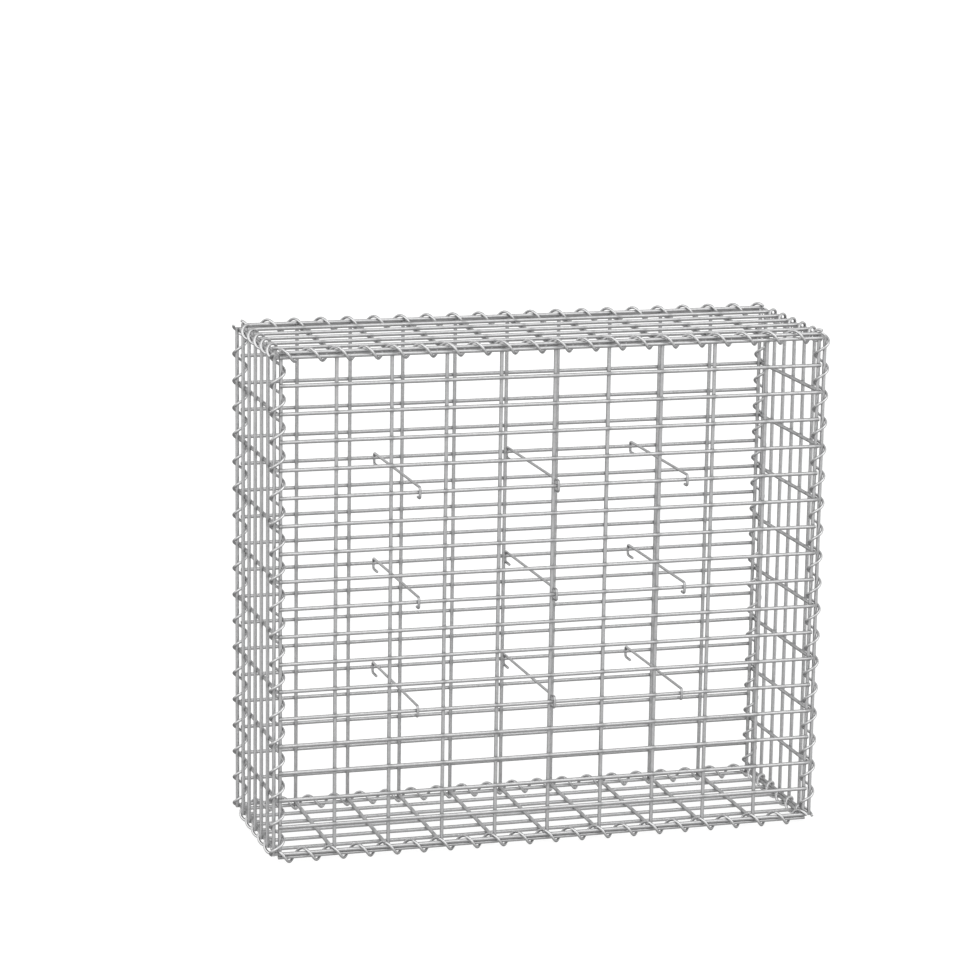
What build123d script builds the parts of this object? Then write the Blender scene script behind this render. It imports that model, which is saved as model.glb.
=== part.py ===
# Welded-mesh gabion basket, empty and closed: six mesh panels laced along all
# twelve edges by wire spirals, with nine hooked tie wires from front to back.
# Millimetres. +Z is up, +X runs along the width, the front faces -Y. The origin
# is on the ground under the middle of the basket.

import os
from math import ceil, cos, floor, pi, sin

from build123d import *

# ---------------------------------------------------------------- dimensions
WIDTH = 1000.0            # between the centres of the front panel's edge uprights
HEIGHT = 900.0            # between its bottom and top horizontals
DEPTH = 300.0             # between the front and back panels' uprights
MESH_LONG = 100.0         # pitch of the wires on the inner layer of each panel
MESH_SHORT = 50.0         # pitch of the wires on the outer layer

WIRE = 6.2                # mesh wire
WIRE_SIDES = 8            # the wire is an octagon of the same section area
WELD = 5.1                # between the centres of two wires welded across each other
OVERHANG = 3.0            # wire past the centre of the last wire it is welded to
SHORT_END = 1.5           # the same for the depth wires of the lid and the bottom
UPRIGHT_SHORT = 1.0       # front and back uprights end this far inside the end horizontals

SIDE_OUT = 11.4           # side panel's uprights beyond the front panel's edge upright
LID_OUT = 7.4             # lid's long wires above the front panel's top horizontal

SPIRAL_WIRE = 5.2
SPIRAL_SIDES = 6          # its wire is a hexagon of the same section area
SPIRAL_RADIUS = 11.3      # level spirals, to the centre of the spiral's wire
CORNER_RADIUS = 12.5      # upright spirals, around wires further apart
SPIRAL_PITCH = 50.0
SPIRAL_CHORDS = 12        # straight lengths in a turn
SPIRAL_LONG_END = 503.0   # half length of a spiral along the width
SPIRAL_DEEP_END = 136.0   # half length of a spiral along the depth
SPIRAL_PAST = 9.0         # an upright spiral runs this far past the top horizontals
SPIRAL_FOOT = 5.0         # and starts this far below the bottom ones

TIE_WIRE = 5.0
TIE_BEND = 5.0            # radius of the hooks' bends, to the wire's centre
FRONT_RISE = 9.6          # rod above the front horizontal that it is hooked over
FRONT_DROP = 10.2         # front hook's return leg below it
FRONT_RETURN = 14.0       # length of that leg
BACK_RISE = 7.4           # the same at the back
BACK_DROP = 12.5
BACK_RETURN = 28.0
TIE_COLUMNS = {"left": -250.0, "middle": 6.5, "right": 250.0}
TIE_ROWS = {"lower": 250.0, "middle": 450.0, "upper": 650.0}

# ---------------------------------------------------------------- derived
corner_x = WIDTH / 2 + SIDE_OUT / 2               # axis of the upright spirals
corner_y = DEPTH / 2 + 1.0
long_y = DEPTH / 2 + WELD / 2                     # axis of the spirals along the width
deep_x = WIDTH / 2 + 3.4                          # axis of the spirals along the depth
edge_z = LID_OUT / 2                              # both are this far past the panels

# circumscribed radius of an octagon and of a hexagon with a round wire's section area
bar_radius = WIRE / 2 * 1.0539
turn_radius = SPIRAL_WIRE / 2 * 1.0996
BASE = edge_z + SPIRAL_RADIUS + turn_radius       # bottom horizontals above the ground
TOP = BASE + HEIGHT
half_bar = 180 / WIRE_SIDES                       # turns a flat of the wire to the weld

os.makedirs("parts", exist_ok=True)


def steps(length, pitch):
    """Wire centres from -length/2 to +length/2."""
    count = round(length / pitch)
    return [-length / 2 + i * pitch for i in range(count + 1)]


# ---------------------------------------------------------------- mesh panels
# Each panel is two layers of straight wires welded where they cross. The closely
# spaced wires are outside and the widely spaced ones inside.
long_x = steps(WIDTH, MESH_LONG)
short_y = steps(DEPTH, MESH_SHORT)
short_z = [BASE + i * MESH_SHORT for i in range(round(HEIGHT / MESH_SHORT) + 1)]
long_z = [BASE + i * MESH_LONG for i in range(round(HEIGHT / MESH_LONG) + 1)]

# front and back: horizontals outside, uprights inside
for name, side in (("front_panel", -1), ("back_panel", 1)):
    with BuildPart() as face_panel:
        with BuildSketch(Plane.YZ.offset(-WIDTH / 2 - OVERHANG)):
            with Locations(*[(side * (DEPTH / 2 + WELD), z) for z in short_z]):
                RegularPolygon(bar_radius, WIRE_SIDES, rotation=half_bar)
        extrude(amount=WIDTH + 2 * OVERHANG)
        with BuildSketch(Plane.XY.offset(BASE + UPRIGHT_SHORT)):
            with Locations(*[(x, side * DEPTH / 2) for x in long_x]):
                RegularPolygon(bar_radius, WIRE_SIDES, rotation=half_bar)
        extrude(amount=HEIGHT - 2 * UPRIGHT_SHORT)
    face_panel.part.label = name
    export_step(face_panel.part, f"parts/{name}.step")

# left and right: uprights outside, depth wires inside
for name, side in (("left_panel", -1), ("right_panel", 1)):
    with BuildPart() as side_panel:
        with BuildSketch(Plane.XY.offset(BASE - OVERHANG)):
            with Locations(*[(side * (WIDTH / 2 + SIDE_OUT), y) for y in short_y]):
                RegularPolygon(bar_radius, WIRE_SIDES, rotation=half_bar)
        extrude(amount=HEIGHT + 2 * OVERHANG)
        with BuildSketch(Plane.XZ.offset(-DEPTH / 2 - OVERHANG)):
            with Locations(*[(side * (WIDTH / 2 + SIDE_OUT - WELD), z) for z in long_z]):
                RegularPolygon(bar_radius, WIRE_SIDES, rotation=half_bar)
        extrude(amount=DEPTH + 2 * OVERHANG)
    side_panel.part.label = name
    export_step(side_panel.part, f"parts/{name}.step")

# lid and bottom: long wires outside, depth wires inside
for name, level, side in (("bottom_panel", BASE - LID_OUT, -1), ("lid_panel", TOP + LID_OUT, 1)):
    with BuildPart() as flat_panel:
        with BuildSketch(Plane.YZ.offset(-WIDTH / 2 - OVERHANG)):
            with Locations(*[(y, level) for y in short_y]):
                RegularPolygon(bar_radius, WIRE_SIDES, rotation=half_bar)
        extrude(amount=WIDTH + 2 * OVERHANG)
        with BuildSketch(Plane.XZ.offset(-DEPTH / 2 - SHORT_END)):
            with Locations(*[(x, level - side * WELD) for x in long_x]):
                RegularPolygon(bar_radius, WIRE_SIDES, rotation=half_bar)
        extrude(amount=DEPTH + 2 * SHORT_END)
    flat_panel.part.label = name
    export_step(flat_panel.part, f"parts/{name}.step")

# ---------------------------------------------------------------- lacing spirals
# One right-handed spiral on each edge, around the edge wires of the two panels
# that meet there. The last figure is a place along the axis where the spiral is
# at its top (level spirals) or on its +X side (upright ones), chosen so that it
# passes through the mesh beside the cross wires.
low, high = BASE - edge_z, TOP + edge_z
foot, head = BASE - SPIRAL_FOOT, TOP + SPIRAL_PAST
long_run = (-SPIRAL_LONG_END, SPIRAL_LONG_END)
deep_run = (-SPIRAL_DEEP_END, SPIRAL_DEEP_END)
spirals = [
    ("spiral_front_top", "X", (-long_y, high), long_run, 0.0),
    ("spiral_front_bottom", "X", (-long_y, low), long_run, -6.4),
    ("spiral_back_top", "X", (long_y, high), long_run, -3.8),
    ("spiral_back_bottom", "X", (long_y, low), long_run, 27.0),
    ("spiral_left_top", "Y", (-deep_x, high), deep_run, 5.0),
    ("spiral_left_bottom", "Y", (-deep_x, low), deep_run, 21.0),
    ("spiral_right_top", "Y", (deep_x, high), deep_run, -5.0),
    ("spiral_right_bottom", "Y", (deep_x, low), deep_run, 30.0),
    ("spiral_front_left", "Z", (-corner_x, -corner_y), (foot, head), BASE + 27.6),
    ("spiral_front_right", "Z", (corner_x, -corner_y), (foot, head), BASE - 3.6),
    ("spiral_back_left", "Z", (-corner_x, corner_y), (foot, head), BASE + 31.5),
    ("spiral_back_right", "Z", (corner_x, corner_y), (foot, head), BASE - 4.7),
]
for name, direction, (a, b), (first, last), at in spirals:
    chord = SPIRAL_PITCH / SPIRAL_CHORDS
    k, k_last = ceil((first - at) / chord + 0.3), floor((last - at) / chord - 0.3)
    points = []
    for s in [first] + [at + i * chord for i in range(k, k_last + 1)] + [last]:
        turn = 2 * pi * (s - at) / SPIRAL_PITCH
        radius = CORNER_RADIUS if direction == "Z" else SPIRAL_RADIUS
        c, d = radius * cos(turn), radius * sin(turn)
        if direction == "X":
            points.append((s, a - d, b + c))
        elif direction == "Y":
            points.append((a + d, s, b + c))
        else:
            points.append((a + c, b + d, s))
    with BuildPart() as spiral:
        with BuildLine() as turns:
            Polyline(*points)
        with BuildSketch(Plane(origin=turns.line @ 0, z_dir=turns.line % 0)):
            RegularPolygon(turn_radius, SPIRAL_SIDES)
        sweep(path=turns.line, transition=Transition.RIGHT)
    spiral.part.label = name
    export_step(spiral.part, f"parts/{name}.step")

# ---------------------------------------------------------------- tie wires
# A straight rod over a front and a back horizontal. Each end turns down outside
# the panel and comes back in under the horizontal, the back hook further.
tie_y = DEPTH / 2 + WELD + WIRE / 2 + TIE_WIRE / 2 + 0.3
for row, level in TIE_ROWS.items():
    for column, x in TIE_COLUMNS.items():
        name = f"tie_{row}_{column}"
        at = BASE + level
        with BuildPart() as tie:
            with BuildLine() as bent:
                FilletPolyline(
                    (x, -tie_y + FRONT_RETURN, at - FRONT_DROP),
                    (x, -tie_y, at - FRONT_DROP),
                    (x, -tie_y, at + FRONT_RISE),
                    (x, tie_y, at + BACK_RISE),
                    (x, tie_y, at - BACK_DROP),
                    (x, tie_y - BACK_RETURN, at - BACK_DROP),
                    radius=TIE_BEND,
                )
            with BuildSketch(Plane(origin=bent.line @ 0, z_dir=bent.line % 0)):
                Circle(TIE_WIRE / 2)
            sweep(path=bent.line)
        tie.part.label = name
        export_step(tie.part, f"parts/{name}.step")
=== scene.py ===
import math

import bpy
import numpy as np
from mathutils import Matrix, Vector


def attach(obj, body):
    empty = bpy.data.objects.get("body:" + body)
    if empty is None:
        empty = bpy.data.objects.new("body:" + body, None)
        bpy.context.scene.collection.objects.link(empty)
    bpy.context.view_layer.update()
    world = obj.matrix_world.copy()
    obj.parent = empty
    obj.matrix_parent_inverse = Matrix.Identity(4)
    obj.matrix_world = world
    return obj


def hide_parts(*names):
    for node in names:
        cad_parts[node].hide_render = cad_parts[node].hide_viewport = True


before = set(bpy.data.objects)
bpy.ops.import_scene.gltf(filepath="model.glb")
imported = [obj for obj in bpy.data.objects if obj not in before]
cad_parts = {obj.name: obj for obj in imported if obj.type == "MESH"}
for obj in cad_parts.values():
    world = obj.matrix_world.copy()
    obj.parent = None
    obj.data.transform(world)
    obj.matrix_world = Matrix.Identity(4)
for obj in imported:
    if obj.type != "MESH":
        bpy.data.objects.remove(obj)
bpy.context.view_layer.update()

rng = np.random.default_rng(41)

# ------------------------------------------------------------------ dimensions (m)
MM = 0.001
WIDTH, HEIGHT, DEPTH = 1000.0, 900.0, 300.0
LONG, SHORT = 100.0, 50.0
WIRE_R = 3.4
WELD = 5.1
OVERHANG, SHORT_END, UPRIGHT_SHORT = 3.0, 1.5, 1.0
SIDE_OUT, LID_OUT = 11.4, 7.4
SPIRAL_R, CORNER_R, SPIRAL_WIRE_R, PITCH = 11.2, 11.9, 2.6, 50.0
LONG_END, DEEP_END, PAST, FOOT = 503.0, 136.0, 9.0, 5.0
TIE_R, TIE_BEND = 2.5, 5.0
FRONT_RISE, FRONT_DROP, FRONT_RETURN = 9.6, 10.2, 14.0
BACK_RISE, BACK_DROP, BACK_RETURN = 7.4, 12.5, 28.0
BASE = 17.859
TOP = BASE + HEIGHT


# ------------------------------------------------------------------ mesh building
class Shape:
    """Collects closed tubes into one mesh, with a length-and-angle UV map and two
    values at each point: how near a weld is, and a number for each wire."""

    def __init__(self):
        self.v, self.f, self.uv, self.weld, self.wire = [], [], [], [], []
        self.n = 0
        self.wires = 0

    def tube(self, pts, radius, sides=12, weld=None, normal=None, chamfer=0.35, skew=(0.0, 0.0)):
        """A round wire along pts (mm). Its two ends are cut off with a small chamfer."""
        pts = np.asarray(pts, float)
        n = len(pts)
        radius = np.broadcast_to(np.asarray(radius, float), (n,)).copy()
        weld = np.zeros(n) if weld is None else np.asarray(weld, float)
        step = np.linalg.norm(np.diff(pts, axis=0), axis=1)
        along = np.concatenate([[0.0], np.cumsum(step)])
        tan = np.gradient(pts, along, axis=0)
        tan /= np.linalg.norm(tan, axis=1, keepdims=True)
        # frames carried along the wire without twist
        if normal is None:
            normal = np.array([0.0, 0.0, 1.0]) if abs(tan[0][2]) < 0.9 else np.array([1.0, 0.0, 0.0])
        u = normal - tan[0] * normal.dot(tan[0])
        u /= np.linalg.norm(u)
        us = [u]
        for i in range(1, n):
            u = us[-1] - tan[i] * us[-1].dot(tan[i])
            us.append(u / np.linalg.norm(u))
        us = np.array(us)
        vs = np.cross(tan, us)
        ang = np.linspace(0, 2 * math.pi, sides, endpoint=False)
        ring = np.cos(ang)[None, :, None] * us[:, None, :] + np.sin(ang)[None, :, None] * vs[:, None, :]
        rings = pts[:, None, :] + ring * radius[:, None, None]
        # the cut ends: an inner ring, set out by the chamfer
        first = pts[0] - tan[0] * chamfer + ring[0] * (radius[0] - chamfer)
        last = pts[-1] + tan[-1] * chamfer + ring[-1] * (radius[-1] - chamfer)
        first += tan[0] * skew[0] * np.cos(ang)[:, None]
        last += tan[-1] * skew[1] * np.cos(ang)[:, None]
        allr = np.concatenate([first[None], rings, last[None]])
        m = len(allr)
        base = self.n
        self.v.append(allr.reshape(-1, 3))
        length = np.concatenate([[along[0] - chamfer], along, [along[-1] + chamfer]])
        w = np.concatenate([[weld[0]], weld, [weld[-1]]])
        self.weld.append(np.repeat(w, sides))
        self.wire.append(np.full(m * sides, self.wires, float))
        idx = base + np.arange(m * sides).reshape(m, sides)
        a = idx[:-1]
        b = idx[1:]
        q = np.stack([a, np.roll(a, -1, 1), np.roll(b, -1, 1), b], -1).reshape(-1, 4)
        self.f.append(q)
        # uv per corner
        s0 = np.arange(sides) / sides
        s1 = (np.arange(sides) + 1) / sides
        l0 = np.repeat(length[:-1], sides) * MM
        l1 = np.repeat(length[1:], sides) * MM
        c0 = np.tile(s0, m - 1)
        c1 = np.tile(s1, m - 1)
        off = self.wires * 1.7
        self.uv.append(np.stack([np.stack([l0 + off, c0], -1), np.stack([l0 + off, c1], -1),
                                 np.stack([l1 + off, c1], -1), np.stack([l1 + off, c0], -1)], 1).reshape(-1, 2))
        self.caps = getattr(self, "caps", [])
        self.caps.append((idx[0][::-1].copy(), length[0] * MM + off))
        self.caps.append((idx[-1].copy(), length[-1] * MM + off))
        self.n += m * sides
        self.wires += 1

    def blob(self, centre, axes, radii, around=10, rows=5):
        """A small closed swelling, for the metal pressed out of a weld."""
        centre = np.asarray(centre, float)
        axes = np.asarray(axes, float)
        lat = np.linspace(-math.pi / 2, math.pi / 2, rows + 2)[1:-1]
        lon = np.linspace(0, 2 * math.pi, around, endpoint=False)
        x = np.cos(lat)[:, None] * np.cos(lon)[None] * radii[0]
        y = np.cos(lat)[:, None] * np.sin(lon)[None] * radii[1]
        z = np.repeat(np.sin(lat)[:, None], around, 1) * radii[2]
        body = np.stack([x, y, z], -1).reshape(-1, 3)
        body = np.concatenate([body, [[0, 0, -radii[2]], [0, 0, radii[2]]]])
        pts = centre + body @ axes
        base = self.n
        idx = base + np.arange(rows * around).reshape(rows, around)
        a, b = idx[:-1], idx[1:]
        q = np.stack([a, np.roll(a, -1, 1), np.roll(b, -1, 1), b], -1).reshape(-1, 4)
        bottom, top = base + rows * around, base + rows * around + 1
        tris = []
        for i in range(around):
            j = (i + 1) % around
            tris.append((bottom, idx[0][j], idx[0][i]))
            tris.append((top, idx[-1][i], idx[-1][j]))
        self.v.append(pts)
        self.f.append(q)
        self.uv.append(np.tile(np.array([[0, 0], [0.001, 0], [0.001, 0.1], [0, 0.1]]), (len(q), 1)) + self.wires * 1.7)
        self.tris = getattr(self, "tris", [])
        self.tris += [(t, self.wires * 1.7) for t in tris]
        self.weld.append(np.ones(len(pts)))
        self.wire.append(np.full(len(pts), self.wires, float))
        self.n += len(pts)

    def object(self, name, material):
        verts = np.concatenate(self.v) * MM
        quads = np.concatenate(self.f)
        caps = getattr(self, "caps", [])
        tris = getattr(self, "tris", [])
        faces = quads.tolist() + [c.tolist() for c, _ in caps] + [list(t) for t, _ in tris]
        mesh = bpy.data.meshes.new(name)
        mesh.from_pydata(verts.tolist(), [], faces)
        uv = [np.concatenate(self.uv)]
        for c, u in caps:
            k = len(c)
            t = np.linspace(0, 2 * math.pi, k, endpoint=False)
            uv.append(np.stack([u + 0.0005 * np.cos(t), 0.5 + 0.25 * np.sin(t)], -1))
        for t, u in tris:
            uv.append(np.array([[u, 0.0], [u + 0.0005, 0.0], [u, 0.05]]))
        uv = np.concatenate(uv)
        layer = mesh.uv_layers.new(name="wire")
        layer.data.foreach_set("uv", uv.astype(np.float32).ravel())
        for key, data in (("weld", self.weld), ("wire", self.wire)):
            att = mesh.attributes.new(key, "FLOAT", "POINT")
            att.data.foreach_set("value", np.concatenate(data).astype(np.float32))
        smooth = np.ones(len(faces), bool)
        smooth[len(quads):len(quads) + len(caps)] = False
        mesh.polygons.foreach_set("use_smooth", smooth)
        mesh.update()
        obj = bpy.data.objects.new(name, mesh)
        bpy.context.scene.collection.objects.link(obj)
        obj.data.materials.append(material)
        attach(obj, "root")
        return obj


# ------------------------------------------------------------------ materials
def galvanised(name, light, dark, rough, spangle):
    """Zinc-coated wire: drawn streaks along the wire, a faint spangle, duller grey
    around the welds and a slightly different tone from wire to wire."""
    mat = bpy.data.materials.new(name)
    mat.use_nodes = True
    t = mat.node_tree
    t.nodes.clear()
    n = t.nodes.new
    link = t.links.new
    out = n("ShaderNodeOutputMaterial")
    bsdf = n("ShaderNodeBsdfPrincipled")
    link(bsdf.outputs[0], out.inputs[0])
    bsdf.inputs["Metallic"].default_value = 1.0

    uv = n("ShaderNodeUVMap"); uv.uv_map = "wire"
    obj = n("ShaderNodeTexCoord")
    weld = n("ShaderNodeAttribute"); weld.attribute_name = "weld"
    wire = n("ShaderNodeAttribute"); wire.attribute_name = "wire"

    # streaks left by drawing the wire: long and narrow on the unrolled surface
    stretch = n("ShaderNodeMapping")
    stretch.inputs["Scale"].default_value = (35.0, 14.0, 1.0)
    link(uv.outputs[0], stretch.inputs[0])
    streak = n("ShaderNodeTexNoise")
    streak.inputs["Scale"].default_value = 1.0
    streak.inputs["Detail"].default_value = 5.0
    streak.inputs["Roughness"].default_value = 0.6
    link(stretch.outputs[0], streak.inputs["Vector"])

    # zinc crystals
    cells = n("ShaderNodeTexVoronoi")
    cells.feature = "F1"
    cells.inputs["Scale"].default_value = 260.0
    cells.inputs["Randomness"].default_value = 1.0
    link(obj.outputs["Object"], cells.inputs["Vector"])
    tone_cells = n("ShaderNodeSeparateColor")
    link(cells.outputs["Color"], tone_cells.inputs[0])

    # broad patches of weathering along the basket
    patch = n("ShaderNodeTexNoise")
    patch.inputs["Scale"].default_value = 9.0
    patch.inputs["Detail"].default_value = 4.0
    link(obj.outputs["Object"], patch.inputs["Vector"])

    # each wire its own tone
    pick = n("ShaderNodeTexWhiteNoise"); pick.noise_dimensions = "1D"
    link(wire.outputs["Fac"], pick.inputs["W"])

    def mathn(op, a, b, clamp=False):
        m = n("ShaderNodeMath"); m.operation = op; m.use_clamp = clamp
        for i, x in enumerate((a, b)):
            if isinstance(x, (int, float)):
                m.inputs[i].default_value = x
            else:
                link(x, m.inputs[i])
        return m.outputs[0]

    mix = mathn("MULTIPLY", streak.outputs["Fac"], 0.45)
    mix = mathn("ADD", mix, mathn("MULTIPLY", tone_cells.outputs[0], spangle))
    mix = mathn("ADD", mix, mathn("MULTIPLY", patch.outputs["Fac"], 0.35))
    mix = mathn("ADD", mix, mathn("MULTIPLY", pick.outputs["Value"], 0.18))
    mix = mathn("SUBTRACT", mix, mathn("MULTIPLY", weld.outputs["Fac"], 0.35))
    ramp = n("ShaderNodeValToRGB")
    ramp.color_ramp.elements[0].position = 0.18
    ramp.color_ramp.elements[0].color = (*dark, 1)
    ramp.color_ramp.elements[1].position = 0.78
    ramp.color_ramp.elements[1].color = (*light, 1)
    link(mix, ramp.inputs[0])
    link(ramp.outputs[0], bsdf.inputs["Base Color"])

    r = mathn("MULTIPLY", streak.outputs["Fac"], 0.16)
    r = mathn("ADD", r, mathn("MULTIPLY", tone_cells.outputs[1], 0.10))
    r = mathn("ADD", r, mathn("MULTIPLY", weld.outputs["Fac"], 0.14))
    r = mathn("ADD", r, rough - 0.12, True)
    link(r, bsdf.inputs["Roughness"])

    # fine grain of the coating, and the drawn lines
    grain = n("ShaderNodeTexNoise")
    grain.inputs["Scale"].default_value = 1400.0
    grain.inputs["Detail"].default_value = 3.0
    link(obj.outputs["Object"], grain.inputs["Vector"])
    height = mathn("ADD", mathn("MULTIPLY", grain.outputs["Fac"], 0.5), mathn("MULTIPLY", streak.outputs["Fac"], 0.8))
    bump = n("ShaderNodeBump")
    bump.inputs["Strength"].default_value = 0.22
    bump.inputs["Distance"].default_value = 0.0002
    link(height, bump.inputs["Height"])
    link(bump.outputs[0], bsdf.inputs["Normal"])
    return mat


MESH_MAT = galvanised("galvanised_mesh_wire", (0.53, 0.53, 0.534), (0.36, 0.362, 0.364), 0.40, 0.20)
SPIRAL_MAT = galvanised("galvanised_spiral_wire", (0.60, 0.60, 0.604), (0.42, 0.422, 0.424), 0.27, 0.16)
TIE_MAT = galvanised("galvanised_tie_wire", (0.51, 0.51, 0.514), (0.35, 0.352, 0.354), 0.36, 0.16)


# ------------------------------------------------------------------ mesh panels
def steps(a, b, pitch):
    return a + pitch * np.arange(round((b - a) / pitch) + 1)


def wire_stations(a, b, crossings):
    """Places along a straight wire: close together at each weld, wide apart between."""
    s = [a]
    for c in crossings:
        s += [c - 10.0, c - 5.2, c - 2.6, c, c + 2.6, c + 5.2, c + 10.0]
    s.append(b)
    for c0, c1 in zip(crossings[:-1], crossings[1:]):
        s.append((c0 + c1) / 2)
    s = np.array(sorted(s))
    return s[(s >= a) & (s <= b)]


def straight_wire(shape, axis, a, b, at, crossings, towards):
    """One mesh wire. axis is its direction (0, 1, 2), at its centre in the other two
    axes, crossings the welds along it, towards the side that the crossing wires are on."""
    s = wire_stations(a, b, crossings)
    near = np.min(np.abs(s[:, None] - np.asarray(crossings)[None, :]), axis=1)
    weld = np.exp(-(near / 4.6) ** 2)
    others = [i for i in range(3) if i != axis]
    pts = np.zeros((len(s), 3))
    pts[:, axis] = s
    # drawn wire is never quite straight: a slow wander of a few tenths of a millimetre
    for o, value in zip(others, at):
        wander = sum(amp * np.sin(2 * math.pi * s / wave + rng.uniform(0, 6.28))
                     for amp, wave in ((0.10, 610.0), (0.07, 233.0), (0.04, 97.0)))
        pts[:, o] = value + wander
    pts += np.asarray(towards)[None, :] * (weld * 0.10)[:, None]
    radius = WIRE_R * (1 + 0.035 * weld)
    shape.tube(pts, radius, 12, weld=weld, skew=rng.uniform(-0.35, 0.35, 2))


def panel(name, outer, inner, outward):
    """outer and inner: (axis, from, to, list of centres in the other two axes, crossings)."""
    shape = Shape()
    o_axis, o_a, o_b, o_at, o_cross = outer
    i_axis, i_a, i_b, i_at, i_cross = inner
    outward = np.asarray(outward, float)
    for at in o_at:
        straight_wire(shape, o_axis, o_a, o_b, at, o_cross, -outward)
    for at in i_at:
        straight_wire(shape, i_axis, i_a, i_b, at, i_cross, outward)
    # metal pressed out around each weld, between the two layers
    k = int(np.argmax(np.abs(outward)))
    e_o, e_i = np.eye(3)[o_axis], np.eye(3)[i_axis]
    others_o = [i for i in range(3) if i != o_axis]
    others_i = [i for i in range(3) if i != i_axis]
    for at_o in o_at:
        for at_i in i_at:
            p = np.zeros(3)
            po = dict(zip(others_o, at_o))
            pi = dict(zip(others_i, at_i))
            p[o_axis] = pi[o_axis]
            p[i_axis] = po[i_axis]
            p[k] = (po[k] + pi[k]) / 2
            grow = rng.uniform(0.9, 1.12)
            turn = rng.uniform(-0.25, 0.25)
            ax = math.cos(turn) * e_o + math.sin(turn) * e_i
            ay = -math.sin(turn) * e_o + math.cos(turn) * e_i
            az = np.cross(ax, ay)
            shape.blob(p, np.stack([ax, ay, az]), (2.95 * grow, 2.95 * grow, 1.25))
    obj = shape.object(name + "_wires", MESH_MAT)
    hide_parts(name)
    return obj


xs_long = steps(-WIDTH / 2, WIDTH / 2, LONG)
ys_short = steps(-DEPTH / 2, DEPTH / 2, SHORT)
zs_short = steps(BASE, TOP, SHORT)
zs_long = steps(BASE, TOP, LONG)

for node, side in (("front_panel", -1), ("back_panel", 1)):
    panel(node,
          (0, -WIDTH / 2 - OVERHANG, WIDTH / 2 + OVERHANG, [(side * (DEPTH / 2 + WELD), z) for z in zs_short], xs_long),
          (2, BASE + UPRIGHT_SHORT, TOP - UPRIGHT_SHORT, [(x, side * DEPTH / 2) for x in xs_long], zs_short),
          (0, side, 0))
for node, side in (("left_panel", -1), ("right_panel", 1)):
    panel(node,
          (2, BASE - OVERHANG, TOP + OVERHANG, [(side * (WIDTH / 2 + SIDE_OUT), y) for y in ys_short], zs_long),
          (1, -DEPTH / 2 - OVERHANG, DEPTH / 2 + OVERHANG, [(side * (WIDTH / 2 + SIDE_OUT - WELD), z) for z in zs_long], ys_short),
          (side, 0, 0))
for node, side, level in (("bottom_panel", -1, BASE - LID_OUT), ("lid_panel", 1, TOP + LID_OUT)):
    panel(node,
          (0, -WIDTH / 2 - OVERHANG, WIDTH / 2 + OVERHANG, [(y, level) for y in ys_short], xs_long),
          (1, -DEPTH / 2 - SHORT_END, DEPTH / 2 + SHORT_END, [(x, level - side * WELD) for x in xs_long], ys_short),
          (0, 0, side))

# ------------------------------------------------------------------ lacing spirals
corner_x, corner_y = WIDTH / 2 + SIDE_OUT / 2, DEPTH / 2 + 1.0
long_y, deep_x = DEPTH / 2 + WELD / 2, WIDTH / 2 + 3.4
low, high = BASE - LID_OUT / 2, TOP + LID_OUT / 2
LONG_RUN, DEEP_RUN = (-LONG_END, LONG_END), (-DEEP_END, DEEP_END)
UP_RUN = (BASE - FOOT, TOP + PAST)
# the last figure is a place where the spiral is at its top, or on its +X side
SPIRALS = [
    ("spiral_front_top", 0, (-long_y, high), LONG_RUN, 0.0),
    ("spiral_front_bottom", 0, (-long_y, low), LONG_RUN, -6.4),
    ("spiral_back_top", 0, (long_y, high), LONG_RUN, -3.8),
    ("spiral_back_bottom", 0, (long_y, low), LONG_RUN, 27.0),
    ("spiral_left_top", 1, (-deep_x, high), DEEP_RUN, 5.0),
    ("spiral_left_bottom", 1, (-deep_x, low), DEEP_RUN, 21.0),
    ("spiral_right_top", 1, (deep_x, high - 2.2), DEEP_RUN, -5.0),
    ("spiral_right_bottom", 1, (deep_x, low), DEEP_RUN, 30.0),
    ("spiral_front_left", 2, (-corner_x, -corner_y), UP_RUN, BASE + 27.6),
    ("spiral_front_right", 2, (corner_x, -corner_y), UP_RUN, BASE - 3.6),
    ("spiral_back_left", 2, (-corner_x, corner_y), UP_RUN, BASE + 31.5),
    ("spiral_back_right", 2, (corner_x, corner_y), UP_RUN, BASE - 4.7),
]
for node, axis, (a, b), (first, last), at in SPIRALS:
    s = np.linspace(first, last, int((last - first) / PITCH * 28) + 1)
    ang = 2 * math.pi * (s - at) / PITCH
    turn_r = CORNER_R if axis == 2 else 10.4 if node == "spiral_right_top" else SPIRAL_R
    c, d = turn_r * np.cos(ang), turn_r * np.sin(ang)
    if axis == 0:
        pts = np.stack([s, a - d, b + c], 1)
    elif axis == 1:
        pts = np.stack([a + d, s, b + c], 1)
    else:
        pts = np.stack([a + c, b + d, s], 1)
    shape = Shape()
    shape.wires = int(rng.integers(1, 90))
    shape.tube(pts, SPIRAL_WIRE_R, 14, skew=rng.uniform(-0.5, 0.5, 2))
    obj = shape.object(node + "_wire", SPIRAL_MAT)
    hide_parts(node)

# ------------------------------------------------------------------ tie wires
tie_y = DEPTH / 2 + WELD + 5.9


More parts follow.
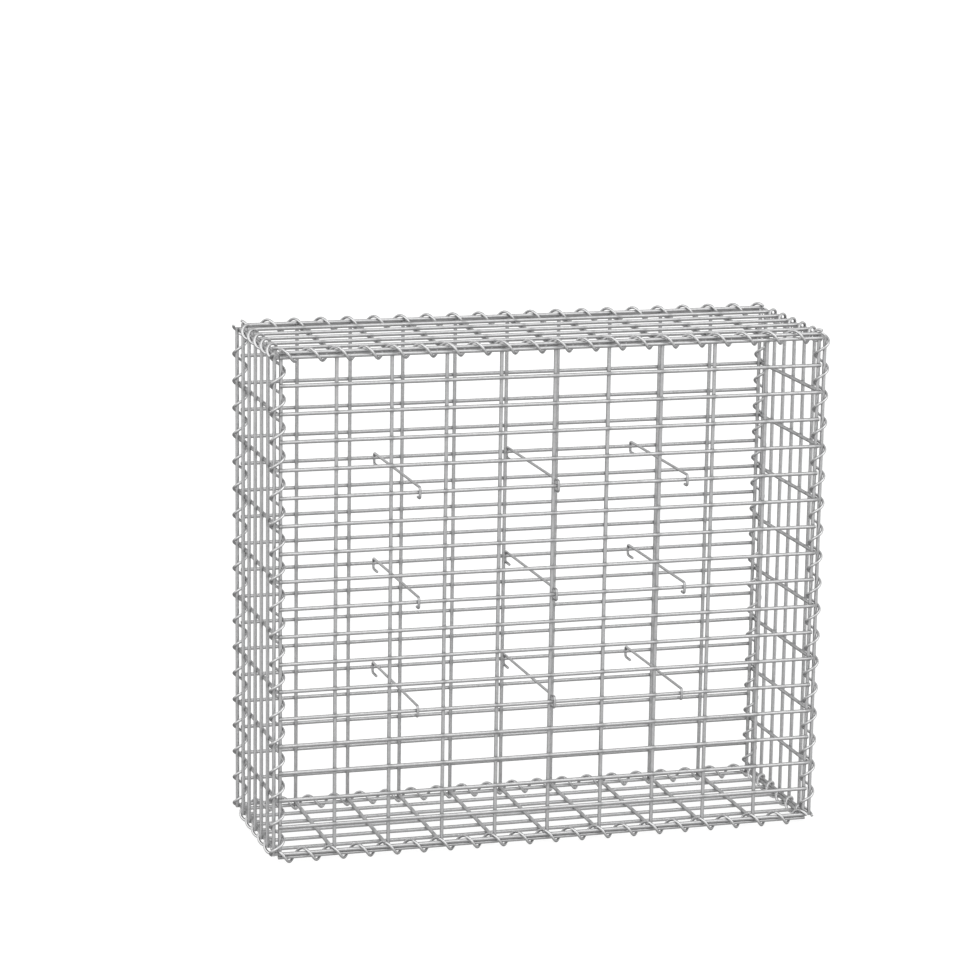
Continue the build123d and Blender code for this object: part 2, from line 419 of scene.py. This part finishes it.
def bent(points, radius, per_bend=8, run=12.0):
    """A bent wire's centre line: straight runs joined by round bends."""
    pts = [np.asarray(p, float) for p in points]
    out = [pts[0]]
    for a, b, c in zip(pts[:-2], pts[1:-1], pts[2:]):
        d0 = (a - b) / np.linalg.norm(a - b)
        d1 = (c - b) / np.linalg.norm(c - b)
        half = math.acos(np.clip(d0.dot(d1), -1, 1)) / 2
        cut = radius / math.tan(half)
        centre = b + (d0 + d1) / np.linalg.norm(d0 + d1) * radius / math.sin(half)
        p0, p1 = b + d0 * cut, b + d1 * cut
        v0, v1 = (p0 - centre) / radius, (p1 - centre) / radius
        turn = math.acos(np.clip(v0.dot(v1), -1, 1))
        for i in range(per_bend + 1):
            k = i / per_bend
            out.append(centre + radius * (math.sin((1 - k) * turn) * v0 + math.sin(k * turn) * v1) / math.sin(turn))
    out.append(pts[-1])
    full = [out[0]]
    for p in out[1:]:
        d = np.linalg.norm(p - full[-1])
        for i in range(1, int(d // run) + 1):
            if d > 2 * run:
                full.append(full[-1] + (p - full[-1]) * (run / np.linalg.norm(p - full[-1])))
        if np.linalg.norm(p - full[-1]) > 0.05:
            full.append(p)
    return np.array(full)


for row, level in (("lower", 250.0), ("middle", 450.0), ("upper", 650.0)):
    for column, x in (("left", -250.0), ("middle", 6.5), ("right", 250.0)):
        at = BASE + level
        path = bent([(x, -tie_y + FRONT_RETURN, at - FRONT_DROP), (x, -tie_y, at - FRONT_DROP),
                     (x, -tie_y, at + FRONT_RISE), (x, tie_y, at + BACK_RISE),
                     (x, tie_y, at - BACK_DROP), (x, tie_y - BACK_RETURN, at - BACK_DROP)], TIE_BEND)
        shape = Shape()
        shape.wires = int(rng.integers(1, 90))
        shape.tube(path, TIE_R, 12, normal=np.array([1.0, 0.0, 0.0]), skew=rng.uniform(-0.4, 0.4, 2))
        node = f"tie_{row}_{column}"
        obj = shape.object(node + "_wire", TIE_MAT)
        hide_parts(node)

# ------------------------------------------------------------------ floor
floor_mesh = bpy.data.meshes.new("floor")
floor_mesh.from_pydata([(-300, -300, 0), (300, -300, 0), (300, 300, 0), (-300, 300, 0)], [], [(0, 1, 2, 3)])
floor = bpy.data.objects.new("floor", floor_mesh)
bpy.context.scene.collection.objects.link(floor)
fm = bpy.data.materials.new("pale_floor")
fm.use_nodes = True
b = fm.node_tree.nodes["Principled BSDF"]
b.inputs["Base Color"].default_value = (0.18, 0.18, 0.18, 1)
b.inputs["Roughness"].default_value = 0.9
b.inputs["Emission Color"].default_value = (1, 1, 1, 1)
b.inputs["Emission Strength"].default_value = 0.87
floor_mesh.materials.append(fm)
# the wires mirror the dim studio around them instead of the bright floor
floor.visible_glossy = False

# ------------------------------------------------------------------ light
world = bpy.data.worlds.new("studio")
bpy.context.scene.world = world
world.use_nodes = True
wt = world.node_tree
bg = wt.nodes["Background"]
look = wt.nodes.new("ShaderNodeTexCoord")
parts = wt.nodes.new("ShaderNodeSeparateXYZ")
wt.links.new(look.outputs["Generated"], parts.inputs[0])
height = wt.nodes.new("ShaderNodeMapRange")
height.inputs["From Min"].default_value = -1.0
height.inputs["From Max"].default_value = 1.0
wt.links.new(parts.outputs["Z"], height.inputs["Value"])
# bright from a little below eye level upwards, greyer near the ground, and the
# part below eye level dimmer behind
sky = wt.nodes.new("ShaderNodeValToRGB")
sky.color_ramp.interpolation = "EASE"
for spot, tone in ((0.32, 0.62), (0.385, 1.20), (0.50, 1.18), (0.62, 1.06), (0.78, 0.82)):
    k = sky.color_ramp.elements.new(spot)
    k.color = (tone, tone, tone, 1)
sky.color_ramp.elements[0].color = (0.58, 0.58, 0.58, 1)
sky.color_ramp.elements[-1].color = (0.78, 0.78, 0.78, 1)
wt.links.new(height.outputs["Result"], sky.inputs[0])
behind = wt.nodes.new("ShaderNodeMapRange")
behind.interpolation_type = "SMOOTHSTEP"
behind.inputs["From Min"].default_value = -0.20
behind.inputs["From Max"].default_value = 0.70
wt.links.new(parts.outputs["Y"], behind.inputs["Value"])
below = wt.nodes.new("ShaderNodeMapRange")
below.interpolation_type = "SMOOTHSTEP"
below.inputs["From Min"].default_value = 0.16
below.inputs["From Max"].default_value = -0.14
wt.links.new(parts.outputs["Z"], below.inputs["Value"])
both = wt.nodes.new("ShaderNodeMath")
both.operation = "MULTIPLY"
wt.links.new(behind.outputs["Result"], both.inputs[0])
wt.links.new(below.outputs["Result"], both.inputs[1])
dim = wt.nodes.new("ShaderNodeMapRange")
dim.inputs["To Min"].default_value = 1.0
dim.inputs["To Max"].default_value = 0.45
wt.links.new(both.outputs[0], dim.inputs["Value"])
shade = wt.nodes.new("ShaderNodeVectorMath")
shade.operation = "SCALE"
wt.links.new(sky.outputs[0], shade.inputs[0])
wt.links.new(dim.outputs["Result"], shade.inputs["Scale"])
wt.links.new(shade.outputs[0], bg.inputs[0])
bg.inputs[1].default_value = 1.0


def sun(name, az, el, strength, angle):
    light = bpy.data.lights.new(name, "SUN")
    light.energy = strength
    light.angle = math.radians(angle)
    o = bpy.data.objects.new(name, light)
    a, e = math.radians(az), math.radians(el)
    d = Vector((math.sin(a) * math.cos(e), -math.cos(a) * math.cos(e), math.sin(e)))
    o.rotation_mode = "QUATERNION"
    o.rotation_quaternion = d.to_track_quat("Z", "Y")
    bpy.context.scene.collection.objects.link(o)
    return o


sun("key", 35, 45, 0.95, 55)
sun("fill", -60, 35, 0.8, 60)

# ------------------------------------------------------------------ camera
f_px, az, el, roll, tx, ty, dist = 3517.76, -16.511, 12.133, 0.827, 77.291, -164.034, 6471.116
a, e, r = math.radians(az), math.radians(el), math.radians(roll)
fw = -Vector((math.sin(a) * math.cos(e), -math.cos(a) * math.cos(e), math.sin(e)))
right = fw.cross(Vector((0, 0, 1))).normalized()
up = right.cross(fw)
right2 = math.cos(r) * right + math.sin(r) * up
up2 = -math.sin(r) * right + math.cos(r) * up
place = Vector((0, 0, 450.0 + BASE)) - tx * right2 - ty * up2 - dist * fw
cam_data = bpy.data.cameras.new("camera")
cam = bpy.data.objects.new("camera", cam_data)
bpy.context.scene.collection.objects.link(cam)
m = Matrix((right2, up2, -fw)).transposed().to_4x4()
m.translation = place * MM
cam.matrix_world = m
cam_data.sensor_width = 36.0
cam_data.lens = f_px / 971 * 36.0
cam_data.clip_start, cam_data.clip_end = 0.1, 200.0
bpy.context.scene.camera = cam

bpy.context.scene.view_settings.view_transform = "Standard"
